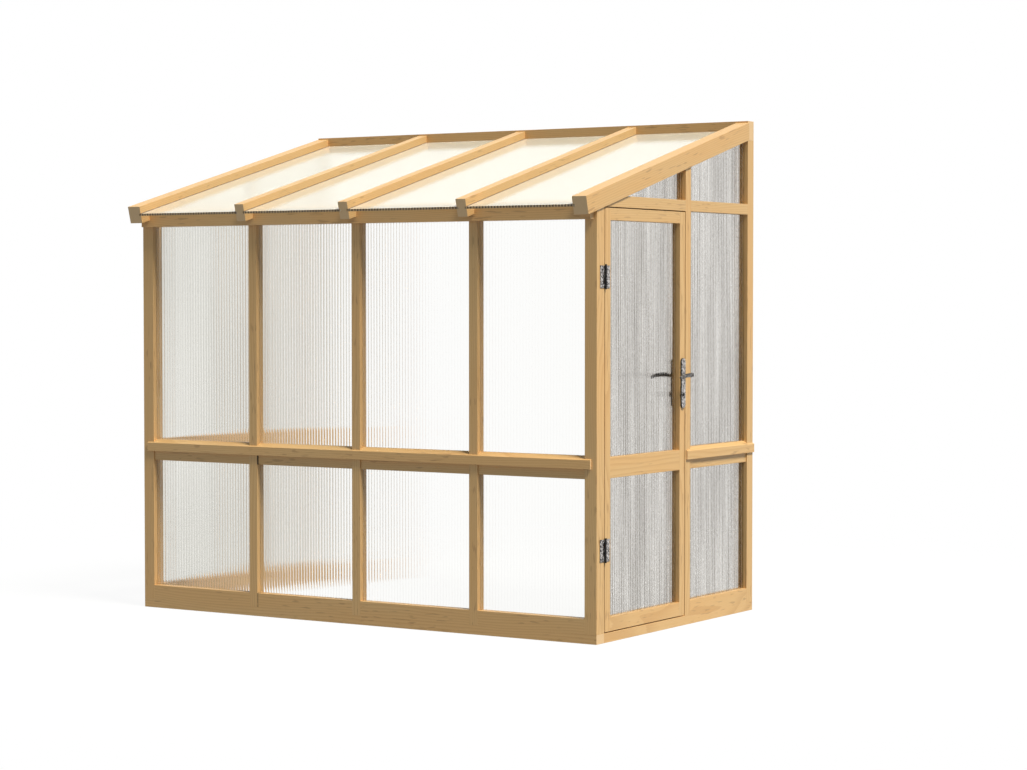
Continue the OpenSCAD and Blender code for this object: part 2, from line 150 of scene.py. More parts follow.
# Turns that bring a timber's length onto the grain's Z
GRAIN_TURN = {
    "upright": (0.0, 0.0, 0.0),
    "along_front": (0.0, math.pi / 2, 0.0),
    "along_end": (math.pi / 2, 0.0, 0.0),
    "along_slope": (math.pi / 2 - ROOF_SLOPE, 0.0, 0.0),
}


def pine_grain():
    """Planed softwood with its fibres along Z: growth rings cut by the board's faces, fine fibres, short dark resin
    streaks, a few small knots, and slow changes of tone from board to board."""
    tree, given, out = group(
        "pine_grain",
        [("Vector", "Vector"), ("Ring Contrast", "Float"), ("Streaks", "Float")],
        [("Color", "Color"), ("Roughness", "Float"), ("Height", "Float")],
    )
    place = given.outputs["Vector"]

    def drawn(x, z, offset=0.0):
        """Coordinates for a pattern drawn out along the fibres, moved by an offset of its own."""
        return mapped(tree, place, (x, x, z), (offset, offset * 1.7, offset * 0.6))

    wander = node(tree, "TexNoise", {"Vector": drawn(5.0, 1.1), "Scale": 1.0, "Detail": 1.5}).outputs["Color"]
    shift = node(tree, "VectorMath", {0: wander, 1: (0.5, 0.5, 0.5)}, operation="SUBTRACT").outputs[0]
    bent = node(tree, "VectorMath", {0: shift, 1: (0.055, 0.055, 0.0), 2: place}, operation="MULTIPLY_ADD")
    rings = node(tree, "TexWave", {"Vector": mapped(tree, bent.outputs[0], (1, 1, 0.02), PITH), "Scale": 38.0,
                                   "Distortion": 1.2, "Detail": 2.0, "Detail Scale": 1.4, "Detail Roughness": 0.6},
                 wave_type="RINGS", rings_direction="Z", wave_profile="SAW").outputs["Fac"]
    late = ramp(tree, rings, 0.35, 0.95)
    fibres = noise(tree, drawn(420.0, 9.0), 1.0, 2.0)
    tone = noise(tree, drawn(7.0, 1.3, 3.1), 1.0, 1.0)
    dashes = noise(tree, drawn(115.0, 15.0, 7.7), 1.0, 0.5)
    patch = noise(tree, drawn(9.0, 3.0, 5.2), 1.0, 0.0)
    dash = maths(tree, "MULTIPLY", ramp(tree, dashes, 0.625, 0.72), ramp(tree, patch, 0.42, 0.58))

    cells = node(tree, "TexVoronoi", {"Vector": drawn(7.5, 2.6, 1.9), "Scale": 1.0}, feature="F1")
    number = node(tree, "SeparateColor", {0: cells.outputs["Color"]}).outputs[0]
    chosen = maths(tree, "GREATER_THAN", number, 0.80)
    knot = maths(tree, "MULTIPLY", ramp(tree, cells.outputs["Distance"], 0.065, 0.025), chosen)
    halo = maths(tree, "MULTIPLY", ramp(tree, cells.outputs["Distance"], 0.20, 0.04), chosen)

    dark = maths(tree, "MULTIPLY", late, given.outputs["Ring Contrast"])
    dark = maths(tree, "ADD", dark, maths(tree, "MULTIPLY", halo, 0.35), clamp=True)
    colour = blend(tree, dark, PINE_PALE, PINE_DARK)
    colour = blend(tree, ramp(tree, fibres, 0.3, 0.75, 0.0, 0.16), colour, PINE_DARK)
    colour = blend(tree, ramp(tree, tone, 0.35, 0.65, 0.0, 0.5), colour,
                   blend(tree, 1.0, colour, PINE_WARMTH, "MULTIPLY"))
    marks = maths(tree, "MULTIPLY", maths(tree, "MAXIMUM", dash, knot), given.outputs["Streaks"], clamp=True)
    feed(tree, out, {
        "Color": blend(tree, maths(tree, "MULTIPLY", marks, 0.42), colour, PINE_STREAK),
        "Roughness": ramp(tree, fibres, 0.25, 0.8, 0.40, 0.54),
        "Height": maths(tree, "ADD", maths(tree, "MULTIPLY", fibres, 0.6), maths(tree, "MULTIPLY", late, 0.4)),
    })
    return tree


def end_grain():
    """Sawn ends, where the rings show as arcs: a mask that is 1 where the face looks along the fibres, and a ringed
    colour for it, painted paler than the planed faces as painted light on the timbers' ends."""
    tree, given, out = group("end_grain", [("Vector", "Vector"), ("Normal", "Vector")],
                             [("Mask", "Float"), ("Color", "Color")])
    place = given.outputs["Vector"]
    facing = node(tree, "SeparateXYZ", {0: given.outputs["Normal"]}).outputs["Z"]
    arcs = node(tree, "TexWave", {"Vector": mapped(tree, place, (1, 1, 0), PITH), "Scale": 60.0, "Distortion": 2.0,
                                  "Detail": 2.0},
                wave_type="RINGS", rings_direction="Z", wave_profile="SIN").outputs["Fac"]
    pores = noise(tree, place, 700.0, 2.0)
    shade = maths(tree, "ADD", maths(tree, "MULTIPLY", arcs, 0.5), maths(tree, "MULTIPLY", pores, 0.5))
    feed(tree, out, {
        "Mask": ramp(tree, maths(tree, "ABSOLUTE", facing), 0.86, 0.93),
        "Color": blend(tree, shade, END_DARK, END_PALE),
    })
    return tree


GRAIN, ENDS = pine_grain(), end_grain()


def pine(direction):
    """Planed pine whose fibres run upright, along the front, along the end walls or down the roof."""
    made, tree, shader = material("pine_" + direction)
    where = node(tree, "TexCoord")
    turn = node(tree, "Mapping", {"Vector": where.outputs["Object"], "Rotation": GRAIN_TURN[direction]}).outputs[0]
    facing = node(tree, "Mapping", {"Vector": where.outputs["Normal"], "Rotation": GRAIN_TURN[direction]},
                  vector_type="NORMAL").outputs[0]
    grain = node(tree, "Group", node_tree=GRAIN, inputs={"Vector": turn, "Ring Contrast": 0.55, "Streaks": 1.0})
    ends = node(tree, "Group", node_tree=ENDS, inputs={"Vector": turn, "Normal": facing})
    feed(tree, shader, {
        "Base Color": blend(tree, ends.outputs["Mask"], grain.outputs["Color"], ends.outputs["Color"]),
        "Roughness": grain.outputs["Roughness"],
        "Normal": bumped(tree, grain.outputs["Height"], 0.25, 0.6 * MM),
    })
    return made


PINES = {direction: pine(direction) for direction in GRAIN_TURN}

# ---- Iron, and foam and sealant as painted shade -------------------------------------------------------------

WAX_DARK = (0.016, 0.015, 0.015, 1)
WAX_PALE = (0.05, 0.05, 0.05, 1)
METAL_DARK = (0.045, 0.040, 0.038, 1)
# Pale bare metal, which also serves as a painted highlight and painted glints on the iron's outward faces
METAL_PALE_GLINT = (0.70, 0.66, 0.63, 1)
DENTS_PER_METRE = 160.0


def hammered():
    """Forged iron under black wax: round dents a few millimetres across and a finer casting grain. Where the last
    input is 1 it turns to pale grey metal with dark specks: partly rubbed-back wear, partly a painted highlight, its
    pale specks standing in for glints off the hammered face."""
    tree, given, out = group("hammered", [("Vector", "Vector"), ("Dent Scale", "Float"), ("Bare And Glint", "Float")],
                             [("Color", "Color"), ("Roughness", "Float"), ("Height", "Float")])
    place = given.outputs["Vector"]
    dents = node(tree, "TexVoronoi", {"Vector": place, "Scale": given.outputs["Dent Scale"], "Smoothness": 0.6},
                 feature="SMOOTH_F1").outputs["Distance"]
    specks = noise(tree, place, 175.0, 2.0)
    waxed = blend(tree, ramp(tree, specks, 0.4, 0.7), WAX_DARK, WAX_PALE)
    wear_and_highlight = blend(tree, ramp(tree, specks, 0.43, 0.58), METAL_DARK, METAL_PALE_GLINT)
    feed(tree, out, {
        "Color": blend(tree, given.outputs["Bare And Glint"], waxed, wear_and_highlight),
        "Roughness": ramp(tree, specks, 0.3, 0.7, 0.34, 0.24),
        "Height": maths(tree, "MULTIPLY_ADD", noise(tree, place, 900.0, 2.0), 0.25, dents),
    })
    return tree


HAMMER = hammered()


def iron(name, bare_and_glint=0.0, wear_and_painted_light=0.0):
    """Black hammered iron. Its two shares say how far the faces that look out from the door, and how far all its
    faces, turn to pale metal. On the outward faces that pale metal is partly rubbed-back wear and partly a painted
    highlight for the light they catch."""
    made, tree, shader = material(name)
    where = node(tree, "TexCoord")
    outward = maths(tree, "ABSOLUTE", node(tree, "SeparateXYZ", {0: where.outputs["Normal"]}).outputs["X"])
    # Painted highlight and wear: pale metal on the faces that look along X
    wear_and_highlight = maths(tree, "MAXIMUM", maths(tree, "MULTIPLY", ramp(tree, outward, 0.90, 0.99), bare_and_glint), wear_and_painted_light)
    metal = node(tree, "Group", node_tree=HAMMER, inputs={
        "Vector": where.outputs["Object"], "Dent Scale": DENTS_PER_METRE, "Bare And Glint": wear_and_highlight})
    feed(tree, shader, {
        "Base Color": metal.outputs["Color"],
        "Roughness": metal.outputs["Roughness"],
        "Normal": bumped(tree, metal.outputs["Height"], 0.6, 0.8 * MM),
    })
    shader.inputs["Metallic"].default_value = 0.85
    return made


def filler(name, dark, pale):
    """Foam or sealant, dark fillers that stand in for shade in joints: matt, with pores about a millimetre across."""
    made, tree, shader = material(name)
    where = node(tree, "TexCoord").outputs["Object"]
    pores = node(tree, "TexVoronoi", {"Vector": where, "Scale": 900.0}).outputs["Distance"]
    feed(tree, shader, {
        "Base Color": blend(tree, ramp(tree, pores, 0.1, 0.6), dark, pale),
        "Normal": bumped(tree, pores, 0.4, 0.5 * MM),
    })
    shader.inputs["Roughness"].default_value = 0.9
    return made


IRON = iron("black_iron")
RUBBED_GLINTING_IRON = iron("rubbed_glinting_iron", bare_and_glint=1.0)
WORN_IRON = iron("worn_iron", wear_and_painted_light=0.28)
# Near-black foam, a dark strip placed as painted shade in an open joint
SHADE_FOAM = filler("painted_shade_foam", (0.008, 0.008, 0.008, 1), (0.03, 0.029, 0.028, 1))
# Dark brown sealant, beads placed as painted shadow along the rafters' joints with the sheets
SHADOW_SEALANT = filler("painted_shadow_sealant", (0.07, 0.045, 0.022, 1), (0.15, 0.09, 0.045, 1))

# ---- Plastic sheet -------------------------------------------------------------------------------------------

WALL_TINT = (0.98, 0.98, 0.965, 1)
ROOF_TINT = (0.99, 0.98, 0.95, 1)
MILK = (0.98, 0.93, 0.775, 1)
# Painted shade on the sheets' cut ends: the darkest for the open channels between the flutes
CUT_DARK = (0.085, 0.057, 0.031, 1)
CUT_PALE = (0.50, 0.36, 0.20, 1)
# What each face passes of the light that only lights other things
SHEET_LIGHT = (0.88, 0.88, 0.88, 1)


def side_shade():
    """How far a sheet seen from the side is veiled in painted shade: a mask from the share of the side view, and the
    tone of that painted shade, in fine upright streaks, broad bands and fine speckle, both from 0 to 1."""
    tree, given, out = group(
        "side_shade",
        [("Vector", "Vector"), ("Side", "Float"), ("From", "Float"), ("To", "Float")],
        [("Mask", "Float"), ("Tone", "Float")],
    )
    place = given.outputs["Vector"]
    streaks = noise(tree, mapped(tree, place, (150.0, 150.0, 1.6)), 1.0, 2.5)
    bands = noise(tree, mapped(tree, place, (22.0, 22.0, 1.1)), 1.0, 1.0)
    dust_and_shade_speckle = noise(tree, place, 230.0, 1.0)
    tone = maths(tree, "MULTIPLY_ADD", dust_and_shade_speckle, 0.45, maths(tree, "MULTIPLY", streaks, 0.45))
    tone = maths(tree, "MULTIPLY_ADD", bands, 0.25, tone)
    tilt = maths(tree, "MULTIPLY", given.outputs["Side"], maths(tree, "MULTIPLY_ADD", streaks, 0.16, 0.92))
    feed(tree, out, {
        "Mask": ramp(tree, tilt, given.outputs["From"], given.outputs["To"]),
        "Tone": ramp(tree, tone, 0.44, 0.71),
    })
    return tree


SIDE_SHADE = side_shade()


def fluted_plastic(name, tint, roughness=0.0, shade_over=None, shade_tones=None, milk=0.0):
    """Clear fluted sheet. From the side it is veiled in painted shade, a grey that stands in for the shade of a
    twin-wall sheet's inner ribs: clear up to the first of the two limits and all veiled from the second on, both of
    them one less the cosine to its face, and the two tones give the darkest and the palest grey of its streaks. milk
    is the share of each face that scatters the light."""
    made, tree, glass = material(name)
    where = node(tree, "TexCoord").outputs["Object"]
    dusted = tuple(0.96 * c for c in tint[:3]) + (1,)
    dust_and_shade_speckle = ramp(tree, noise(tree, where, 240.0, 3.0), 0.45, 0.8)
    feed(tree, glass, {"Base Color": blend(tree, dust_and_shade_speckle, tint, dusted)})
    glass.inputs["Roughness"].default_value = roughness
    glass.inputs["IOR"].default_value = 1.49
    glass.inputs["Transmission Weight"].default_value = 1.0
    clear = node(tree, "BsdfTransparent", {"Color": SHEET_LIGHT})
    path = node(tree, "LightPath").outputs
    whole = glass
    if shade_tones:
        side = node(tree, "LayerWeight", {"Blend": 0.5}).outputs["Facing"]
        wear_and_painted_light = node(tree, "Group", node_tree=SIDE_SHADE, inputs={
            "Vector": where, "Side": side, "From": shade_over[0], "To": shade_over[1]}).outputs
        # Grey veil of painted shade over what shows through the sheet from the side
        veil = node(tree, "BsdfTransparent", {"Color": blend(tree, wear_and_painted_light["Tone"], *shade_tones)})
        whole = mixed(tree, wear_and_painted_light["Mask"], glass, veil)
    whole = mixed(tree, path["Is Diffuse Ray"], whole, clear)
    if milk:
        share = maths(tree, "MULTIPLY_ADD", path["Is Diffuse Ray"], -0.5 * milk, milk)
        whole = mixed(tree, share, whole, node(tree, "BsdfDiffuse", {"Color": MILK}))
    show(tree, mixed(tree, path["Is Shadow Ray"], whole, clear))
    return made


def sheet_end():
    """The cut lower ends of the roof sheets: painted dark brown as painted shade along the sheets' edge, darker still
    between the flutes, where the open channels lie in shadow.
    """
    made, tree, shader = material("sheet_end")
    where = node(tree, "TexCoord").outputs["Object"]
    across = node(tree, "SeparateXYZ", {0: where}).outputs["X"]
    wave = maths(tree, "SINE", maths(tree, "MULTIPLY", across, 2 * math.pi / FLUTE_PITCH))
    shade = maths(tree, "MULTIPLY_ADD", wave, 0.45, noise(tree, where, 90.0, 2.0))
    feed(tree, shader, {"Base Color": blend(tree, ramp(tree, shade, 0.3, 0.9), CUT_DARK, CUT_PALE)})
    shader.inputs["Roughness"].default_value = 0.6
    return made


# Each wall's sheet has its own tones of painted shade for the side view; the door end, which faces the lamp, has the
# darkest
DOOR_END_SHEET = fluted_plastic("door_end_sheet", WALL_TINT, shade_over=(0.36, 0.44),
                                shade_tones=((0.50, 0.478, 0.45, 1), (0.89, 0.875, 0.85, 1)))
FAR_END_SHEET = fluted_plastic("far_end_sheet", WALL_TINT, shade_over=(0.10, 0.20),
                               shade_tones=((0.71, 0.70, 0.665, 1), (0.94, 0.935, 0.91, 1)))
FRONT_SHEET = fluted_plastic("front_sheet", WALL_TINT, shade_over=(0.36, 0.44),
                             shade_tones=((0.80, 0.79, 0.76, 1), (0.93, 0.92, 0.90, 1)))
ROOF_SHEET = fluted_plastic("roof_sheet", ROOF_TINT, roughness=0.07, milk=0.26)
SHEET_END = sheet_end()

# ---- Surfaces ------------------------------------------------------------------------------------------------


def put(made, body, stands_for=None):
    """Puts an object in the scene, on its body, and in place of a CAD node if one is named."""
    scene.collection.objects.link(made)
    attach(made, body)
    if stands_for:
        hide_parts(stands_for)
    return made


def piece(name, parts, finish, body, sharp=25.0, stands_for=None):
    """One mesh object from (vertices, faces) pairs: poles and seams closed, faces outward, and smooth but for edges
    sharper than the angle."""
    offset, vertices, faces = 0, [], []
    for points, corners_of in parts:
        vertices.append(np.asarray(points).reshape(-1, 3))
        faces += [[int(i) + offset for i in face] for face in corners_of]
        offset += len(vertices[-1])
    mesh = bpy.data.meshes.new(name)
    mesh.from_pydata(np.concatenate(vertices).tolist(), [], faces)
    work = bmesh.new()
    work.from_mesh(mesh)
    bmesh.ops.remove_doubles(work, verts=work.verts, dist=0.001 * MM)
    bmesh.ops.recalc_face_normals(work, faces=work.faces)
    work.to_mesh(mesh)
    work.free()
    mesh.polygons.foreach_set("use_smooth", np.ones(len(mesh.polygons), bool))
    mesh.materials.append(finish)
    mesh.update()
    mesh.set_sharp_from_angle(angle=math.radians(sharp))
    return put(bpy.data.objects.new(name, mesh), body, stands_for)


def refinish(made, finish, chosen):
    """Gives the chosen faces of a piece a second finish."""
    made.data.materials.append(finish)
    made.data.polygons.foreach_set("material_index", np.asarray(chosen).astype(np.int32))


def grid_faces(rows, columns):
    """Quads between neighbouring rows and columns of a grid numbered row by row. The last column joins the first."""
    r, c = np.meshgrid(np.arange(rows - 1), np.arange(columns), indexing="ij")
    n = (c + 1) % columns
    corner = [r * columns + c, r * columns + n, (r + 1) * columns + n, (r + 1) * columns + c]
    return np.stack(corner, -1).reshape(-1, 4)


def bar(x, y, z):
    """A bar between two like sections, closed at both ends. x, y and z are the sections' points, as arrays that spread
    to a row for each end."""
    rings = np.stack(np.broadcast_arrays(x, y, z), -1)
    count = rings.shape[1]
    ends = [list(range(count))[::-1], list(range(count, 2 * count))]
    return rings, grid_faces(2, count).tolist() + ends


def vertices_of(name):
    """The vertices of a CAD node as an array."""
    mesh = frame["nodes"][name].data
    found = np.empty(len(mesh.vertices) * 3)
    mesh.vertices.foreach_get("co", found)
    return found.reshape(-1, 3)


def normals_of(made):
    """The normals of an object's faces as an array."""
    found = np.empty(len(made.data.polygons) * 3)
    made.data.polygons.foreach_get("normal", found)
    return found.reshape(-1, 3)


def levels(values):
    """The different values in an array, to a tenth of a millimetre, in order."""
    return np.unique(np.round(values, 4))


# ---- Timber --------------------------------------------------------------------------------------------------

TIMBER_ARRIS = 0.7
TIMBERS = {
    "upright": ["corner_posts", "front_mullions", "rear_posts", "left_middle_post", "door_post", "door_stiles"],
    "along_front": ["front_sole_plate", "front_bottom_rails", "front_middle_rails", "front_head_rails", "front_sill",
                    "eave_beam", "wall_plate"],
    "along_end": ["left_sole_plate", "right_sole_plate", "left_bottom_rails", "left_middle_rails", "left_transoms",
                  "right_bottom_rail", "right_middle_rail", "right_transoms", "left_sill", "right_sill",
                  "door_rails"],
    "along_slope": ["end_rafters", "inner_rafters"],
}


def eased(name, finish, width, smooth=False):
    """A CAD node with its arrises eased: its triangles merged, its flat faces made whole, and a round, width
    millimetres wide, on every edge. Timber keeps its faces flat; iron takes a soft, smooth surface."""
    mesh = frame["nodes"][name].data.copy()
    work = bmesh.new()
    work.from_mesh(mesh)
    bmesh.ops.remove_doubles(work, verts=work.verts, dist=0.01 * MM)
    bmesh.ops.dissolve_limit(work, angle_limit=math.radians(0.5), verts=work.verts, edges=work.edges)
    work.to_mesh(mesh)
    work.free()
    mesh.polygons.foreach_set("use_smooth", np.full(len(mesh.polygons), smooth))
    mesh.materials.clear()
    mesh.materials.append(finish)
    made = put(bpy.data.objects.new("eased_" + name, mesh), BODY_OF[name], name)
    arris = made.modifiers.new("arris", "BEVEL")
    arris.width = width * MM
    arris.segments = 2
    arris.limit_method = "ANGLE"
    arris.angle_limit = math.radians(20)


for direction, names in TIMBERS.items():
    for name in names:
        eased(name, PINES[direction], TIMBER_ARRIS)

# ---- Beads, and packing as painted shade ---------------------------------------------------------------------


def door_stop():
    """A bead nailed round the doorway, a little behind the closed door's inner face, mitred at its corners and with
    its inner arris taken off. Each corner of its section lies as far inside the opening's four corners as it stands
    off the opening's sides."""
    gap, thick, tall, ease = 2 * MM, 10 * MM, 14 * MM, 3 * MM
    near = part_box("door_stiles")[0].x - gap
    far = near - thick
    x, inset = np.array([(near, 0), (near, tall), (far + ease, tall), (far + 0.3 * ease, tall - 0.3 * ease),
                         (far, tall - ease), (far, 0)]).T
    y0, y1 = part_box("corner_posts")[1].y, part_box("door_post")[0].y
    z0, z1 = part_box("right_sole_plate")[1].z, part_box("right_transoms")[0].z
    y = np.array([y0, y1, y1, y0])[:, None] + np.array([1, -1, -1, 1])[:, None] * inset
    z = np.array([z0, z0, z1, z1])[:, None] + np.array([1, 1, -1, -1])[:, None] * inset
    points = np.stack(np.broadcast_arrays(x, y, z), -1).reshape(-1, 3)
    faces = grid_faces(5, len(x)) % len(points)
    made = piece("door_stop", [(points, faces)], PINES["along_end"], "frame")
    refinish(made, PINES["upright"], np.repeat([0, 1, 0, 1], len(x)))


def joint_shade_foam():
    """Near-black foam in the open joint beside the first mullion, a dark strip that stands in for the joint's shade:
    as tall as each rail and set back behind the mullion's face. Its section is half a circle as wide as the joint in
    front of a straight tail."""
    tail, set_back = 25 * MM, {"front_bottom_rails": 0.3 * MM, "front_middle_rails": 1.9 * MM}
    x1 = levels(vertices_of("front_bottom_rails")[:, 0])[2]
    posts = levels(vertices_of("front_mullions")[:, 0])
    x0 = posts[posts < x1 - MM][-1]
    radius = (x1 - x0) / 2
    nose = np.linspace(math.pi, 2 * math.pi, 9)
    parts = []
    for rail, depth in set_back.items():
        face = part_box("front_mullions")[0].y + depth
        height = vertices_of(rail)[:, 2]
        parts.append(bar(np.append((x0 + x1) / 2 + radius * np.cos(nose), [x1, x0]),
                         np.append(face + radius + radius * np.sin(nose), [face + tail] * 2),
                         np.array([[height.min()], [height.max()]])))
    piece("joint_shade_foam", parts, SHADE_FOAM, "frame")


door_stop()
joint_shade_foam()

# ---- Fluted sheets -------------------------------------------------------------------------------------------

FLUTE_STEPS = 12
# Depth of a flute, and the power that shapes it
WALL_FLUTE = (0.9 * MM, 4.0)
ROOF_FLUTE = (0.15 * MM, 2.0)
# How far a CAD pane is bedded in the timber at its sides and head, and at its foot
SIDE_SEAT = 7.8 * MM
FOOT_SEAT = 9.8 * MM
SHEETS = {"front": FRONT_SHEET, "left": FAR_END_SHEET, "right": DOOR_END_SHEET, "door": DOOR_END_SHEET,
          "roof": ROOF_SHEET}


def fluted(across, low, high, middle, half, flute, rise=0.0):
    """A sheet whose cross-section is a row of shallow arches on both faces, carried from one end to the other. Across
    it, the face stands off its middle by half - depth * |t| ** power, where t runs from -1 to 1 over each flute: a
    high power keeps the middle of a flute flat. low and high are the two ends at each side of the sheet, and its
    middle rises steadily between them. Returns vertices as (across, along, off the middle)."""
    a0, a1 = across
    depth, power = flute
    flutes = max(1, round((a1 - a0) / FLUTE_PITCH))
    step = np.arange(flutes * FLUTE_STEPS + 1) / FLUTE_STEPS
    off = half - depth * np.abs(2 * (step % 1.0) - 1) ** power
    share = step / flutes
    ends = np.array([low[0] + (low[1] - low[0]) * share, high[0] + (high[1] - high[0]) * share])[:, None]
    face = np.array([1.0, -1.0])[:, None]
    middles = middle + rise * (ends - low[0])
    vertices = np.stack(np.broadcast_arrays(a0 + (a1 - a0) * share, ends, middles + face * off), -1)
    columns = len(step)
    number = np.arange(4 * columns).reshape(2, 2, columns)
    (top, bottom), (far_top, far_bottom) = number
    i, n, last = slice(None, -1), slice(1, None), slice(-1, None)
    quads = [
        (top[i], top[n], far_top[n], far_top[i]),
        (bottom[n], bottom[i], far_bottom[i], far_bottom[n]),
        (top[n], top[i], bottom[i], bottom[n]),
        (far_top[i], far_top[n], far_bottom[n], far_bottom[i]),
        (top[:1], far_top[:1], far_bottom[:1], bottom[:1]),
        (top[last], bottom[last], far_bottom[last], far_top[last]),
    ]
    return vertices.reshape(-1, 3), np.concatenate([np.stack(quad, -1) for quad in quads])


def glaze(name, parts, order):
    """Fluted sheets in place of a node's panes. order says which of (across, along, off) each of x, y and z takes."""
    finish = next(sheet for start, sheet in SHEETS.items() if name.startswith(start))
    parts = [(vertices[:, order], faces) for vertices, faces in parts]
    return piece("fluted_" + name, parts, finish, BODY_OF[name], sharp=18.0, stands_for=name)


def panes(name, across_axis):
    """Upright sheets, side by side or one over another, each as large as the opening it closes. The head follows the
    CAD pane's, level or sloping, and the sheet's rim shows the timber it is bedded in."""
    found = vertices_of(name)
    off_axis = 1 - across_axis
    off = levels(found[:, off_axis])
    parts = []
    for a0, a1 in levels(found[:, across_axis]).reshape(-1, 2):
        left = levels(found[np.abs(found[:, across_axis] - a0) < MM, 2])
        right = levels(found[np.abs(found[:, across_axis] - a1) < MM, 2])
        for (z0, z1), (z2, z3) in zip(left.reshape(-1, 2), right.reshape(-1, 2)):
            slope = (z3 - z1) / (a1 - a0)
            heads = (z1 + slope * SIDE_SEAT - SIDE_SEAT, z3 - slope * SIDE_SEAT - SIDE_SEAT)
            parts.append(fluted((a0 + SIDE_SEAT, a1 - SIDE_SEAT), (z0 + FOOT_SEAT, z2 + FOOT_SEAT), heads,
                                off.mean(), (off[-1] - off[0]) / 2, WALL_FLUTE))
    made = glaze(name, parts, [0, 2, 1] if across_axis == 0 else [2, 0, 1])
    refinish(made, PINES["upright"], np.abs(normals_of(made)[:, off_axis]) < 0.3)


def shadow_beads(edges, run, height, rise):
    """Dark brown sealant in the corners between the rafters and the sheets: beads of triangular section that follow
    the slope and stand in for the shadow along that joint. edges are the sheets' own edges, and height is their upper
    face at the start of the run."""
    bite, leg = 0.2 * MM, 2.5 * MM
    out, up = np.array([-bite, leg, -bite]), np.array([-bite, -bite, leg])
    y = np.array(run)[:, None]
    corners = [(x, side) for x0, x1 in edges.reshape(-1, 2) for x, side in ((x0 + SIDE_SEAT, 1), (x1 - SIDE_SEAT, -1))]
    parts = [bar(x + side * out, y, height + rise * (y - y[0]) + up) for x, side in corners]
    piece("roof_shadow_beads", parts, SHADOW_SEALANT, "frame")


def roof():
    """The roof sheets, with their flutes down the slope, and the dark beads of painted shadow beside them."""
    found = vertices_of("roof_sheets")
    edges, (y0, y1) = levels(found[:, 0]), levels(found[:, 1])
    eave, back = levels(found[found[:, 1] < y0 + MM, 2]), levels(found[found[:, 1] > y1 - MM, 2])
    rise = (back.mean() - eave.mean()) / (y1 - y0)
    half = (eave[-1] - eave[0]) / 2
    parts = [fluted(across, (y0, y0), (y1, y1), eave.mean(), half, ROOF_FLUTE, rise)
             for across in edges.reshape(-1, 2)]
    made = glaze("roof_sheets", parts, [0, 1, 2])
    refinish(made, SHEET_END, normals_of(made)[:, 1] < -0.9)
    shadow_beads(edges, (y0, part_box("wall_plate")[0].y), eave.mean() + half, rise)


for name in ("front_lower_panes", "front_upper_panes"):
    panes(name, 0)
for name in ("left_lower_panes", "left_upper_panes", "left_gable_panes",
             "right_lower_pane", "right_upper_pane", "right_gable_panes", "door_panes"):
    panes(name, 1)
roof()

# ---- Ironwork ------------------------------------------------------------------------------------------------

# Node, width of its eased edges, finish
IRONWORK = (
    ("hinge_post_leaves", 0.4, RUBBED_GLINTING_IRON), ("hinge_door_leaves", 0.4, RUBBED_GLINTING_IRON), ("hinge_pins", 0.6, IRON),
    ("outer_back_plate", 2.4, RUBBED_GLINTING_IRON), ("inner_back_plate", 2.4, RUBBED_GLINTING_IRON), ("lock_cylinder", 0.8, IRON),
    ("thumb_turn", 1.8, WORN_IRON), ("spindle", 0.3, IRON),
)
# Side of the door, and which way it faces
DOOR_SIDES = (("outer", 1), ("inner", -1))
# Hub of a lever: radius and height over its back plate, in millimetres
HUB = ((0, -7.4), (10.9, -7.4), (10.9, 0.4), (12.5, 0.5), (12.5, 2.2), (11.2, 3.6), (9.8, 8.6), (8.4, 10.4), (0, 10.4))
HUB_RADIUS = 11 * MM
ARM_RADIUS = 8.6 * MM
# Half the thickness and half the height of a lever's arm, in millimetres, at shares of its length
ARM_SHARES = (0, 0.18, 0.34, 0.5, 0.8, 1.0)
ARM_THICK = (7.6, 7.4, 8.6, 7.6, 6.6, 6.6)
ARM_TALL = (7.6, 8.2, 10.6, 9.8, 8.4, 7.6)
LEAF_THICK = 2.5 * MM
LEAF_SCREW, PLATE_SCREW = 3.6 * MM, 4.2 * MM
PLATE_SCREW_INSET = 16 * MM


def around(steps):
    """Angles evenly round a circle."""
    return np.linspace(0, 2 * math.pi, steps, endpoint=False)


def outer_face(low, high, sign):
    """Where a piece's face lies along X on the side that sign says."""
    return high.x if sign > 0 else low.x


def hub(face, y, z, sign):
    """The profile HUB turned about an axis along X: radius times the cosine and sine of the angle, and height out
    from the plate's face."""
    angle = around(40)
    r, h = np.array(HUB).T[..., None] * MM
    points = np.stack(np.broadcast_arrays(face + sign * h, y + r * np.cos(angle), z + r * np.sin(angle)), -1)
    return points, grid_faces(len(r), len(angle))


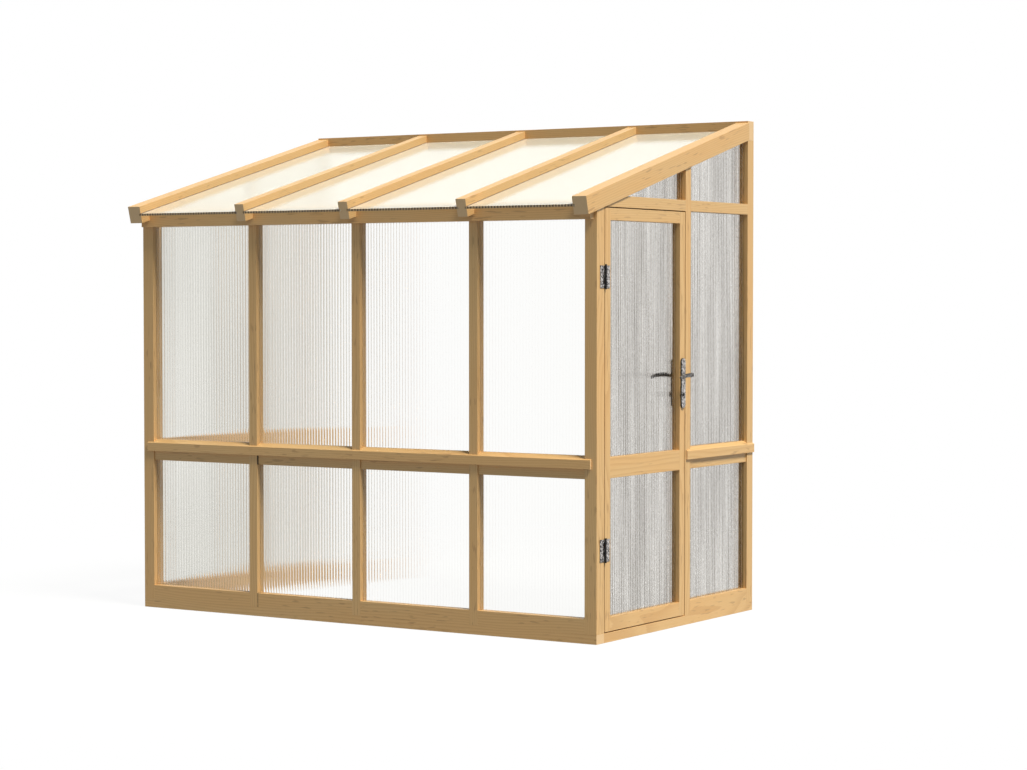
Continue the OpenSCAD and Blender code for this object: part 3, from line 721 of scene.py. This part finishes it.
def arm(face, hub_y, hub_z, sign, reach, length):
    """A swept handle. Its path goes straight out, round a quarter circle and straight along, raised by a smooth step
    on the way out, and dropping by a power of the share of the way along. Its section is an ellipse whose half widths
    come from a table, and its tip closes as a quarter of an ellipse."""
    bend, tip = 16 * MM, 7 * MM
    lift, droop, pull_in = 7 * MM, 11.5 * MM, 3 * MM
    neck = np.linspace(0.0, reach - bend, 10)
    turn = np.linspace(0, math.pi / 2, 14)[1:]
    along = np.linspace(bend, length, 44)[1:]
    x = np.concatenate([neck, reach - bend + bend * np.sin(turn), np.full(len(along), reach)])
    y = np.concatenate([np.zeros(len(neck)), bend - bend * np.cos(turn), along])
    s = np.clip((y - bend) / (length - bend), 0, 1)
    rise = np.clip(x / reach, 0, 1)
    path = np.stack([x - pull_in * s ** 2, y, lift * rise ** 2 * (3 - 2 * rise) - droop * s ** 2.2], -1)
    tangent = np.gradient(path, axis=0)
    tangent /= np.linalg.norm(tangent, axis=1)[:, None]
    up = np.array([0, 0, 1.0]) - tangent * tangent[:, 2:]
    up /= np.linalg.norm(up, axis=1)[:, None]
    out = np.cross(up, tangent)
    run = np.append(0, np.cumsum(np.linalg.norm(np.diff(path, axis=0), axis=1)))
    closing = np.sqrt(np.clip(1 - (np.clip(run - (run[-1] - tip), 0, None) / tip) ** 2, 0, 1))
    thick, tall = (np.interp(run / run[-1], ARM_SHARES, widths) * MM * closing for widths in (ARM_THICK, ARM_TALL))
    angle = around(28)[:, None]
    wide, high = (out * thick[:, None])[:, None], (up * tall[:, None])[:, None]
    points = path[:, None] + wide * np.cos(angle) + high * np.sin(angle)
    points = np.concatenate([np.broadcast_to(path[:1, None], points[:1].shape), points])
    placed = np.array([face, hub_y, hub_z]) + points * np.array([sign, -1, 1])
    return placed, grid_faces(len(points), len(angle))


def levers():
    """Both handles, each as wide and as long as its CAD node allows."""
    neck_foot = 2 * MM
    for side, sign in DOOR_SIDES:
        low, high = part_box(side + "_lever")
        face = outer_face(*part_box(side + "_back_plate"), sign)
        y, z = high.y - HUB_RADIUS, (low.z + high.z) / 2
        reach = abs(outer_face(low, high, sign) - face) - neck_foot - ARM_RADIUS
        parts = [hub(face, y, z, sign), arm(face + sign * neck_foot, y, z, sign, reach, y - low.y)]
        name = side + "_lever"
        piece("swept_" + name, parts, WORN_IRON, BODY_OF[name], sharp=40.0, stands_for=name)


def screw(centre, sign, radius):
    """A countersunk head that looks along X: a disc whose height is a low dome less a cross-shaped recess, closed by
    a flat back."""
    dome, recess, back = 0.16, 0.32, -0.4
    rings = np.array([0.0, 0.12, 0.2, 0.3, 0.42, 0.52, 0.6, 0.75, 0.9, 1.0, 1.0, 0.0])
    angle = around(48)
    r, a = np.meshgrid(rings, angle, indexing="ij")
    y, z = r * np.cos(a), r * np.sin(a)
    cross = ((np.abs(y) < 0.13) | (np.abs(z) < 0.13)) & (r < 0.56)
    height = dome * (1 - r ** 2) - recess * cross
    height[-2:] = back
    return np.array(centre) + np.stack([sign * height, y, z], -1) * radius, grid_faces(len(rings), len(angle))


def screws(name, body, centres, sign, radius):
    """Screw heads at the given places, as one piece."""
    piece(name, [screw(centre, sign, radius) for centre in centres], IRON, body, sharp=30.0)


def leaf_screws():
    """Three screws in each leaf of each hinge, the middle one nearer the leaf's edge. Each place is a share of the
    way from the pin to the edge, and a share of the way up the leaf."""
    places = ((0.50, 0.16), (0.74, 0.5), (0.50, 0.84))
    heights = np.sort(vertices_of("hinge_post_leaves")[:, 2])
    gap = np.argmax(np.diff(heights))
    spans = ((heights[0], heights[gap]), (heights[gap + 1], heights[-1]))
    pin = (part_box("hinge_pins")[0].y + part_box("hinge_pins")[1].y) / 2
    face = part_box("door_stiles")[1].x + LEAF_THICK
    for name, leaves in (("post_screws", "hinge_post_leaves"), ("door_screws", "hinge_door_leaves")):
        edge = max((corner.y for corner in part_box(leaves)), key=lambda y: abs(y - pin))
        centres = [(face, pin + (edge - pin) * out, z0 + (z1 - z0) * up) for z0, z1 in spans for out, up in places]
        screws(name, BODY_OF[leaves], centres, 1, LEAF_SCREW)


def plate_screws():
    """A screw at each end of each back plate."""
    for side, sign in DOOR_SIDES:
        low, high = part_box(side + "_back_plate")
        face, y = outer_face(low, high, sign), (low.y + high.y) / 2
        centres = [(face, y, high.z - PLATE_SCREW_INSET), (face, y, low.z + PLATE_SCREW_INSET)]
        screws(side + "_plate_screws", "door", centres, sign, PLATE_SCREW)


for name, width, finish in IRONWORK:
    eased(name, finish, width, smooth=True)
levers()
leaf_screws()
plate_screws()

# ---- Floor, light and camera ---------------------------------------------------------------------------------

FLOOR_HALF = 60.0
FLOOR_BOUNCE = (0.262, 0.275, 0.310, 1)
FLOOR_SEEN = (0.9, 0.9, 0.9, 1)
STUDIO_AIR = (0.81, 0.96, 1.0, 1)
STUDIO_STRENGTH = 0.215
WHITE = (1, 1, 1, 1)


def looked_at(tree):
    """1 for what the eye sees, straight or by a mirror or through glass, and 0 for what only lights other things."""
    path = node(tree, "LightPath").outputs
    seen = maths(tree, "MAXIMUM", path["Is Camera Ray"],
                 maths(tree, "MAXIMUM", path["Is Glossy Ray"], path["Is Transmission Ray"]))
    return maths(tree, "MULTIPLY", seen, maths(tree, "LESS_THAN", path["Diffuse Depth"], 0.5))


def floor():
    """Pale ground that reads white to the eye, to mirrors and through glass, and keeps a soft shadow. The shadow
    fades out between near and far."""
    near, far = 2.0, 4.5
    made, tree, shader = material("pale_floor")
    tree.nodes.remove(shader)
    seen = looked_at(tree)
    ground = node(tree, "BsdfDiffuse", {"Color": blend(tree, seen, FLOOR_BOUNCE, FLOOR_SEEN)})
    white = node(tree, "Emission", {"Color": WHITE, "Strength": 1.0})
    where = node(tree, "TexCoord").outputs["Object"]
    away = node(tree, "VectorMath", {0: where}, operation="LENGTH").outputs["Value"]
    share = ramp(tree, away, near, far, 0.93, 1.0)
    show(tree, mixed(tree, maths(tree, "MULTIPLY", seen, share), ground, white))
    mesh = bpy.data.meshes.new("floor")
    corner = np.array([(-1, -1, 0), (1, -1, 0), (1, 1, 0), (-1, 1, 0)]) * FLOOR_HALF
    mesh.from_pydata(corner.tolist(), [], [(0, 1, 2, 3)])
    mesh.materials.append(made)
    ground_plane = bpy.data.objects.new("floor", mesh)
    scene.collection.objects.link(ground_plane)


def surroundings():
    """Even studio light, and white wherever the eye, a mirror or glass looks past the object."""
    scene.world = bpy.data.worlds.new("studio")
    scene.world.use_nodes = True
    tree = scene.world.node_tree
    tree.nodes.clear()
    tree.nodes.new("ShaderNodeOutputWorld")
    studio = node(tree, "Background", {"Color": STUDIO_AIR, "Strength": STUDIO_STRENGTH})
    white = node(tree, "Background", {"Color": WHITE, "Strength": 1.0})
    show(tree, mixed(tree, looked_at(tree), studio, white))


def sun(name, toward, strength, colour, angle):
    """A broad lamp far away in the given direction, angle degrees wide."""
    data = bpy.data.lights.new(name, "SUN")
    data.energy = strength
    data.color = colour
    data.angle = math.radians(angle)
    lamp = bpy.data.objects.new(name, data)
    lamp.rotation_euler = (-Vector(toward)).to_track_quat("-Z", "Y").to_euler()
    scene.collection.objects.link(lamp)


def eye(location, turn, lens):
    """The camera, on a 36 mm wide sensor."""
    data = bpy.data.cameras.new("camera")
    data.lens = lens
    data.sensor_width = 36.0
    data.clip_end = 200.0
    camera = bpy.data.objects.new("camera", data)
    camera.location = location
    camera.rotation_euler = turn
    scene.collection.objects.link(camera)
    scene.camera = camera


floor()
surroundings()
sun("key", (0.533, -0.115, 0.838), math.pi * 1.35, (1.0, 0.97, 0.905), 17.0)
eye((6.97602, -10.35113, 1.5441), (math.pi / 2 - 0.0353, 0.0, 0.5665), 89.40)
scene.view_settings.view_transform = "Standard"
